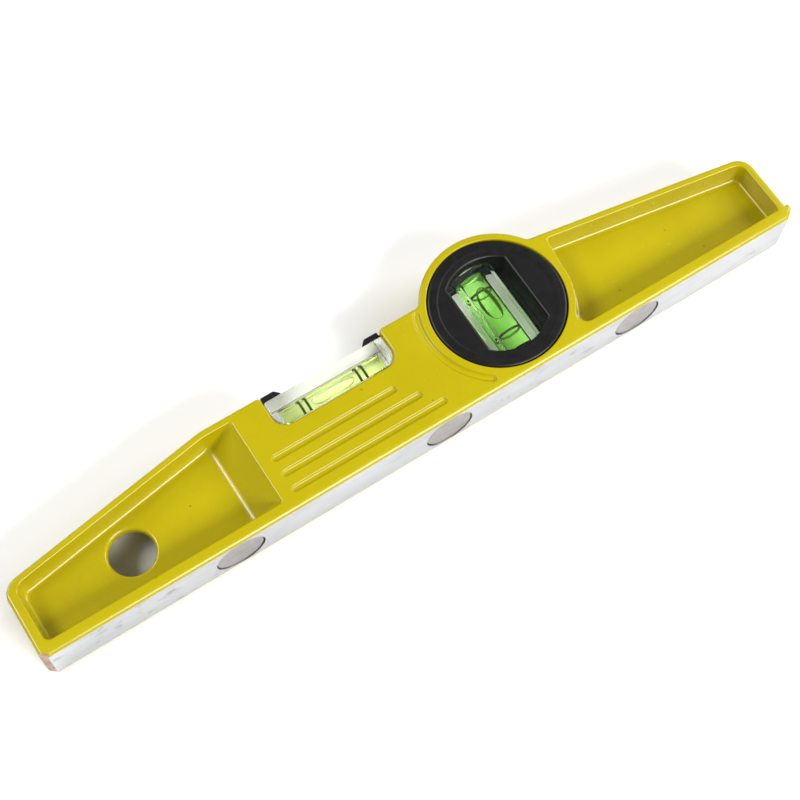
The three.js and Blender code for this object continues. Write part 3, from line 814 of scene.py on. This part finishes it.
class Look:
    """A node material with short ways to add patterns. Pattern sizes are in millimetres."""

    def __init__(self, name):
        self.material = bpy.data.materials.new(name)
        self.material.use_nodes = True
        self.nodes = self.material.node_tree.nodes
        self.links = self.material.node_tree.links
        self.shader = self.nodes["Principled BSDF"]
        self.place = self.nodes.new("ShaderNodeTexCoord").outputs["Object"]

    def set(self, **values):
        for key, value in values.items():
            self.shader.inputs[key.replace("_", " ")].default_value = value

    def scaled(self, stretch):
        mapping = self.nodes.new("ShaderNodeMapping")
        mapping.inputs["Scale"].default_value = [1 / (MM * s) for s in stretch]
        self.links.new(self.place, mapping.inputs["Vector"])
        return mapping.outputs["Vector"]

    def noise(self, size, detail=3.0, rough=0.55, stretch=(1, 1, 1)):
        """A noise from 0 to 1 whose lumps are about this size."""
        node = self.nodes.new("ShaderNodeTexNoise")
        node.inputs["Scale"].default_value = 1.0
        node.inputs["Detail"].default_value = detail
        node.inputs["Roughness"].default_value = rough
        self.links.new(self.scaled([size * s for s in stretch]), node.inputs["Vector"])
        return node.outputs["Fac"]

    def cells(self, size):
        """The distance from the middle of random cells of this size."""
        node = self.nodes.new("ShaderNodeTexVoronoi")
        node.inputs["Scale"].default_value = 1.0
        self.links.new(self.scaled([size] * 3), node.inputs["Vector"])
        return node.outputs["Distance"]

    def remap(self, value, from_low, from_high, to_low=0.0, to_high=1.0):
        node = self.nodes.new("ShaderNodeMapRange")
        for i, number in enumerate((from_low, from_high, to_low, to_high), 1):
            node.inputs[i].default_value = number
        self.links.new(value, node.inputs[0])
        return node.outputs["Result"]

    def math(self, operation, a, b):
        node = self.nodes.new("ShaderNodeMath")
        node.operation = operation
        for i, value in enumerate((a, b)):
            if isinstance(value, float):
                node.inputs[i].default_value = value
            else:
                self.links.new(value, node.inputs[i])
        return node.outputs["Value"]

    def mix(self, factor, a, b):
        """One colour mixed into another. Each may be a colour or a socket."""
        node = self.nodes.new("ShaderNodeMix")
        node.data_type = "RGBA"
        self.links.new(factor, node.inputs["Factor"])
        for socket, value in zip((node.inputs[6], node.inputs[7]), (a, b)):
            if isinstance(value, tuple):
                socket.default_value = (*value, 1)
            else:
                self.links.new(value, socket)
        return node.outputs[2]

    def bump(self, value, distance, normal=None):
        """Relief whose full height is a distance in millimetres."""
        node = self.nodes.new("ShaderNodeBump")
        node.inputs["Strength"].default_value = 1.0
        node.inputs["Distance"].default_value = distance * MM
        self.links.new(value, node.inputs["Height"])
        if normal:
            self.links.new(normal, node.inputs["Normal"])
        return node.outputs["Normal"]

    def feed(self, **sockets):
        for key, value in sockets.items():
            self.links.new(value, self.shader.inputs[key.replace("_", " ")])


def enamel():
    look = Look("enamel_yellow")
    look.set(IOR=1.5, Specular_IOR_Level=0.5)
    cloud = look.remap(look.noise(26.0), 0.35, 0.65)
    base = look.mix(cloud, (0.380, 0.308, 0.0005), (0.405, 0.335, 0.001))
    grime = look.remap(look.noise(3.2, 5.0), 0.56, 0.8, 0.0, 0.12)
    base = look.mix(grime, base, (0.22, 0.165, 0.003))
    speck = look.remap(look.cells(7.5), 0.045, 0.02)
    base = look.mix(speck, base, (0.15, 0.10, 0.012))
    look.feed(Base_Color=base)
    look.feed(Roughness=look.remap(look.noise(1.6), 0.3, 0.7, 0.18, 0.28))
    peel = look.bump(look.noise(0.9, 2.0), 0.006)
    look.feed(Normal=look.bump(look.noise(9.0, 1.0), 0.02, peel))
    return look.material


def milled_metal():
    look = Look("milled_aluminium")
    look.set(Metallic=1.0)
    lines = look.noise(0.22, 3.0, 0.6, (120, 1, 1))
    sweep = look.noise(5.0, 3.0, 0.5, (4, 1, 1))
    bright = look.mix(look.remap(sweep, 0.35, 0.65), (0.52, 0.53, 0.54), (0.62, 0.63, 0.64))
    bright = look.mix(look.remap(lines, 0.3, 0.7, 0.0, 0.35), bright, (0.50, 0.51, 0.525))
    spots = look.remap(look.noise(4.5, 5.0), 0.56, 0.70)
    patches = look.remap(look.noise(22.0), 0.48, 0.6)
    smudge = look.math("MULTIPLY", spots, patches)
    bright = look.mix(look.math("MULTIPLY", smudge, 0.7), bright, (0.28, 0.285, 0.29))
    look.feed(Base_Color=bright)
    look.feed(Roughness=look.remap(sweep, 0.3, 0.7, 0.30, 0.42))
    look.feed(Normal=look.bump(lines, 0.004))
    return look.material


def brown_chamfer_look():
    """The left end chamfer, coloured brown in uneven patches."""
    look = Look("brown_end_chamfer")
    brown_blotch = look.remap(look.noise(1.8, 4.0), 0.42, 0.6)
    look.feed(Base_Color=look.mix(brown_blotch, (0.30, 0.16, 0.09), (0.46, 0.31, 0.22)))
    look.feed(Roughness=look.remap(look.noise(0.8), 0.3, 0.7, 0.4, 0.65))
    look.feed(Normal=look.bump(look.noise(0.5), 0.02))
    return look.material


def nickel():
    look = Look("dull_nickel")
    look.set(Metallic=1.0)
    cloud = look.remap(look.noise(5.0, 4.0), 0.35, 0.65)
    scuff = look.remap(look.noise(0.35, 4.0, 0.7, (6, 1, 1)), 0.55, 0.75)
    base = look.mix(cloud, (0.34, 0.32, 0.31), (0.40, 0.375, 0.365))
    look.feed(Base_Color=look.mix(scuff, base, (0.44, 0.42, 0.41)))
    look.feed(Roughness=look.remap(look.noise(2.0, 4.0), 0.3, 0.7, 0.32, 0.5))
    look.feed(Normal=look.bump(look.noise(0.3, 3.0), 0.006))
    return look.material


def black_plastic(name, shine, rough):
    look = Look(name)
    look.set(IOR=1.5, Specular_IOR_Level=shine)
    cloud = look.remap(look.noise(6.0, 4.0), 0.3, 0.7)
    dust = look.remap(look.cells(1.7), 0.09, 0.04, 0.0, 0.35)
    base = look.mix(cloud, (0.0035, 0.0035, 0.004), (0.006, 0.006, 0.0065))
    look.feed(Base_Color=look.mix(dust, base, (0.02, 0.02, 0.02)))
    look.feed(Roughness=look.remap(look.noise(2.2, 3.0), 0.3, 0.7, rough, rough + 0.1))
    look.feed(Normal=look.bump(look.noise(0.25, 2.0), 0.005))
    return look.material


# What is left of lamp light after one face of a clear piece
LAMP_TINT = (0.985, 0.99, 0.98)


def mix_shaders(look, share, first, second):
    """The share is a constant or a socket; at 1 only the second shader is left."""
    mixed = look.nodes.new("ShaderNodeMixShader")
    if isinstance(share, float):
        mixed.inputs[0].default_value = share
    else:
        look.links.new(share, mixed.inputs[0])
    look.links.new(first, mixed.inputs[1])
    look.links.new(second, mixed.inputs[2])
    return mixed.outputs["Shader"]


def let_lamps_through(look, surface):
    """Lamps reach what is inside or under a clear piece, as they do through the real one."""
    path = look.nodes.new("ShaderNodeLightPath")
    open_side = look.nodes.new("ShaderNodeBsdfTransparent")
    open_side.inputs["Color"].default_value = (*LAMP_TINT, 1)
    mixed = mix_shaders(look, path.outputs["Is Shadow Ray"], surface, open_side.outputs["BSDF"])
    look.links.new(mixed, look.nodes["Material Output"].inputs["Surface"])


def clear(name, ior, tint, other_tint, rough):
    """Clear plastic: a slightly uneven tint, faint wear and moulding waves."""
    look = Look(name)
    look.set(IOR=ior, Transmission_Weight=1.0)
    look.feed(Base_Color=look.mix(look.remap(look.noise(8.0), 0.35, 0.65), tint, other_tint))
    look.feed(Roughness=look.remap(look.noise(1.5, 5.0), 0.45, 0.75, rough, rough + 0.05))
    look.feed(Normal=look.bump(look.noise(7.0, 1.0), 0.01))
    let_lamps_through(look, look.shader.outputs["BSDF"])
    return look.material


def glass_inside(name, ior, tint, other_tint, painted_sheen=0.0):
    """A medium inside another one: the index is the ratio of its own to the one around it."""
    look = Look(name)
    glass = look.nodes.new("ShaderNodeBsdfGlass")
    glass.inputs["IOR"].default_value = ior
    glass.inputs["Roughness"].default_value = 0.0
    colour = look.mix(look.remap(look.noise(6.0), 0.35, 0.65), tint, other_tint)
    look.links.new(colour, glass.inputs["Color"])
    surface = glass.outputs["BSDF"]
    # A white diffuse film mixed into the surface: a painted sheen in place of the light the bubble's
    # surface reflects.
    if painted_sheen:
        sheen_film = look.nodes.new("ShaderNodeBsdfDiffuse")
        sheen_film.inputs["Color"].default_value = (1, 1, 1, 1)
        surface = mix_shaders(look, painted_sheen, surface, sheen_film.outputs["BSDF"])
    let_lamps_through(look, surface)
    look.nodes.remove(look.shader)
    return look.material


def painted_glow(material, colour, strength):
    """Painted glow: the liquid's whole depth gives off a little light of its own, in place of lamp light
    that does not reach under the window.
    """
    nodes = material.node_tree.nodes
    painted_glow_node = nodes.new("ShaderNodeEmission")
    painted_glow_node.inputs["Color"].default_value = (*colour, 1)
    painted_glow_node.inputs["Strength"].default_value = strength
    material.node_tree.links.new(painted_glow_node.outputs["Emission"], nodes["Material Output"].inputs["Volume"])


def ink():
    look = Look("dark_ink")
    base = look.mix(look.remap(look.noise(0.5), 0.35, 0.65), (0.012, 0.014, 0.008), (0.03, 0.035, 0.018))
    look.feed(Base_Color=base)
    look.feed(Roughness=look.remap(look.noise(0.4), 0.3, 0.7, 0.45, 0.7))
    return look.material


ACRYLIC_IOR = 1.49
SPIRIT_IOR = 1.36
PLUG_IOR = 1.04
IN_ACRYLIC = SPIRIT_IOR / ACRYLIC_IOR
IN_SPIRIT = 1 / SPIRIT_IOR

ENAMEL = enamel()
MILLED = milled_metal()
CHAMFER = brown_chamfer_look()
NICKEL = nickel()
BLACK = black_plastic("black_moulding", 0.37, 0.34)
MATT_BLACK = black_plastic("matt_black_moulding", 0.12, 0.6)
ACRYLIC = clear("clear_acrylic", ACRYLIC_IOR, (0.975, 0.98, 0.98), (0.985, 0.985, 0.985), 0.0)
# Painted shade: the level block uses a grey-tinted, darker copy of the clear acrylic for the shade seen
# through it.
SHADED_ACRYLIC = clear("shaded_acrylic", ACRYLIC_IOR, (0.88, 0.88, 0.90), (0.90, 0.90, 0.92), 0.0)
# Painted shade: the sawn ends are tinted yellow-brown for the shaded yellow notch wall seen through them.
SAWN_TINTED_ACRYLIC = clear("sawn_acrylic_painted_tint", ACRYLIC_IOR, (0.78, 0.74, 0.50), (0.86, 0.82, 0.62), 0.35)
PLUG_PLASTIC = clear("plug_plastic", PLUG_IOR, (0.96, 0.98, 0.96), (0.98, 0.99, 0.98), 0.02)
LEVEL_SPIRIT = glass_inside("level_spirit", IN_ACRYLIC, (0.90, 0.99, 0.60), (0.92, 0.995, 0.63))
PLUMB_SPIRIT = glass_inside("plumb_spirit", IN_ACRYLIC, (0.70, 0.99, 0.50), (0.73, 0.99, 0.54))
# The level bubble's faint white film is a painted sheen.
LEVEL_AIR = glass_inside("level_bubble_air", IN_SPIRIT, (0.99, 1.0, 0.97), (1.0, 1.0, 0.99), 0.22)
PLUMB_AIR = glass_inside("plumb_bubble_air", IN_SPIRIT, (0.99, 1.0, 0.97), (1.0, 1.0, 0.99))
# Painted glow: the plumb liquid gives off light of its own.
painted_glow(PLUMB_SPIRIT, (0.55, 1.0, 0.25), 26.0)
INK = ink()


# ---- Pieces ----

def add_piece(name, bm, materials, node, body="level"):
    """Makes a shown piece of a solid, which stands for a CAD node and rides on its body."""
    bmesh.ops.recalc_face_normals(bm, faces=bm.faces)
    for edge in bm.edges:
        edge.smooth = edge.calc_face_angle(0) < SHARP_ANGLE
    for face in bm.faces:
        face.smooth = True
    mesh = bpy.data.meshes.new(name)
    bm.to_mesh(mesh)
    bm.free()
    for material in materials:
        mesh.materials.append(material)
    piece = bpy.data.objects.new(name, mesh)
    bpy.context.scene.collection.objects.link(piece)
    normals = piece.modifiers.new("weighted_normals", "WEIGHTED_NORMAL")
    normals.keep_sharp = True
    normals.weight = 100
    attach(piece, body)
    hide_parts(node)
    return piece


def build_body():
    solid = finish_casting(casting())
    add_piece("casting", solid, [ENAMEL, MILLED, CHAMFER], "cast_body")
    for node in MAGNETS:
        add_piece(node.replace("magnet", "magnet_disc"), magnet(node), [NICKEL], node)


def build_level_vial():
    centre = (LEVEL_MIDDLE.y, MID_Z)
    x = LEVEL_MIDDLE.x
    plug_r = LEVEL_BORE_R - PLUG_GAP
    end_low, end_high = LEVEL_BLOCK_LOW.x + PLUG_SUNK, LEVEL_BLOCK_HIGH.x - PLUG_SUNK
    block = finish_level_block(level_block())
    add_piece("level_block", block, [SHADED_ACRYLIC, SAWN_TINTED_ACRYLIC], "level_vial_block")
    liquid = spirit(LEVEL_BORE_R, end_low + LEVEL_PLUG, end_high - LEVEL_PLUG, centre, "x")
    add_piece("level_liquid", liquid, [LEVEL_SPIRIT], "level_vial_spirit")
    air = bubble(
        LEVEL_BUBBLE_HALF, LEVEL_BUBBLE_WIDE, LEVEL_BUBBLE_DEEP, LEVEL_BORE_R - BUBBLE_SHY,
        centre, middle_mm("level_bubble").x, "x",
    )
    add_piece("level_air", air, [LEVEL_AIR], "level_bubble", "level_vial_bubble")
    for i in range(1, 5):
        node = f"level_mark_{i}"
        band = mark(LEVEL_BORE_R, middle_mm(node).x, centre, "x", LEVEL_MARK_SWEEP)
        add_piece(f"level_band_{i}", band, [INK], node)
    gap = PLUG_GAP
    ends = ("left", end_low, end_low + LEVEL_PLUG - gap), ("right", end_high - LEVEL_PLUG + gap, end_high)
    for name, low, high in ends:
        stopper = plug(plug_r, low, high, centre, "x")
        add_piece(f"level_stopper_{name}", stopper, [PLUG_PLASTIC], f"level_plug_{name}")
    for name, side in ("left", -1), ("right", 1):
        wedge = retainer(f"retainer_{name}", side)
        add_piece(f"wedge_{name}", wedge, [BLACK], f"retainer_{name}")


def build_plumb_vial():
    centre = (BOSS[0], MID_Z)
    low, high = PLUMB_LOW.y + PLUG_SUNK, PLUMB_HIGH.y - PLUG_SUNK
    plug_r = PLUMB_BORE_R - PLUG_GAP
    for name, side in ("front", 1), ("rear", -1):
        node = f"plumb_capsule_{name}"
        half = finish_capsule(capsule_half(node, side))
        add_piece(f"capsule_{name}", half, [BLACK, MATT_BLACK], node)
    add_piece("plumb_block", plumb_block(), [ACRYLIC], "plumb_vial_block")
    liquid = spirit(PLUMB_BORE_R, low + PLUMB_PLUG, high - PLUMB_PLUG, centre, "y")
    add_piece("plumb_liquid", liquid, [PLUMB_SPIRIT], "plumb_vial_spirit")
    air = bubble(
        PLUMB_BUBBLE_HALF, PLUMB_BUBBLE_WIDE, PLUMB_BUBBLE_DEEP, PLUMB_BORE_R - BUBBLE_SHY,
        centre, middle_mm("plumb_bubble").y, "y",
    )
    add_piece("plumb_air", air, [PLUMB_AIR], "plumb_bubble", "plumb_vial_bubble")
    for name in ("lower", "upper"):
        node = f"plumb_mark_{name}"
        band = mark(PLUMB_BORE_R, middle_mm(node).y, centre, "y", PLUMB_MARK_SWEEP)
        add_piece(f"plumb_band_{name}", band, [INK], node)
    gap = PLUG_GAP
    ends = ("lower", low, low + PLUMB_PLUG - gap), ("upper", high - PLUMB_PLUG + gap, high)
    for name, start, end in ends:
        stopper = plug(plug_r, start, end, centre, "y")
        add_piece(f"plumb_stopper_{name}", stopper, [PLUG_PLASTIC], f"plumb_plug_{name}")


# ---- Studio, in metres ----

CAMERA_PLACE = Vector((-0.1143, -0.1560, 0.4420))
CAMERA_AIM = Vector((-0.0068, -0.0108, 0.0180))
CAMERA_UP = Vector((0.491, 0.779, 0.391))
CAMERA_LENS = 73.47
FLOOR_SIZE = 6.0
FLOOR_Z = -0.0001
# Name, place, width and height, and power in watts. Nothing stands overhead.
LAMPS = (
    ("front", (0.24, -0.87, 0.64), (0.70, 0.40), 15.3),
    ("right", (0.96, 0.0, 0.66), (0.7, 0.5), 8.0),
    ("left", (-0.68, 0.35, 0.79), (0.35, 0.35), 5.0),
    ("rear", (-0.52, 0.88, 0.68), (0.55, 0.45), 6.2),
)
LAMP_AIM = (0, 0, 0.01)
WORLD_STRENGTH = 0.16


def add_camera():
    data = bpy.data.cameras.new("camera")
    data.lens = CAMERA_LENS
    data.sensor_width = 36
    data.clip_start = 0.01
    camera = bpy.data.objects.new("camera", data)
    bpy.context.scene.collection.objects.link(camera)
    back = (CAMERA_PLACE - CAMERA_AIM).normalized()
    right = CAMERA_UP.cross(back).normalized()
    up = back.cross(right)
    turn = Matrix((right, up, back)).transposed().to_4x4()
    camera.matrix_world = Matrix.Translation(CAMERA_PLACE) @ turn
    bpy.context.scene.camera = camera


def add_floor():
    look = Look("studio_floor")
    look.feed(Base_Color=look.mix(look.noise(60.0), (0.90, 0.90, 0.90), (0.91, 0.91, 0.91)))
    look.set(Roughness=0.9, Specular_IOR_Level=0.1)
    half = FLOOR_SIZE / 2
    corners = [(-half, -half), (half, -half), (half, half), (-half, half)]
    mesh = bpy.data.meshes.new("studio_floor")
    mesh.from_pydata([(x, y, FLOOR_Z) for x, y in corners], [], [(0, 1, 2, 3)])
    mesh.materials.append(look.material)
    floor = bpy.data.objects.new("studio_floor", mesh)
    bpy.context.scene.collection.objects.link(floor)


def add_softbox(name, spot, aim, size, power):
    data = bpy.data.lights.new(name, "AREA")
    data.shape = "RECTANGLE"
    data.size, data.size_y = size
    data.energy = power
    lamp = bpy.data.objects.new(name, data)
    lamp.location = spot
    lamp.rotation_mode = "QUATERNION"
    lamp.rotation_quaternion = (Vector(aim) - Vector(spot)).to_track_quat("-Z", "Y")
    bpy.context.scene.collection.objects.link(lamp)


def add_lights():
    for name, spot, size, power in LAMPS:
        add_softbox(name, spot, LAMP_AIM, size, power)
    world = bpy.data.worlds.new("studio")
    world.use_nodes = True
    background = world.node_tree.nodes["Background"]
    background.inputs["Color"].default_value = (1, 1, 1, 1)
    background.inputs["Strength"].default_value = WORLD_STRENGTH
    bpy.context.scene.world = world
    bpy.context.scene.view_settings.view_transform = "Standard"


add_camera()
add_floor()
add_lights()
build_body()
build_level_vial()
build_plumb_vial()
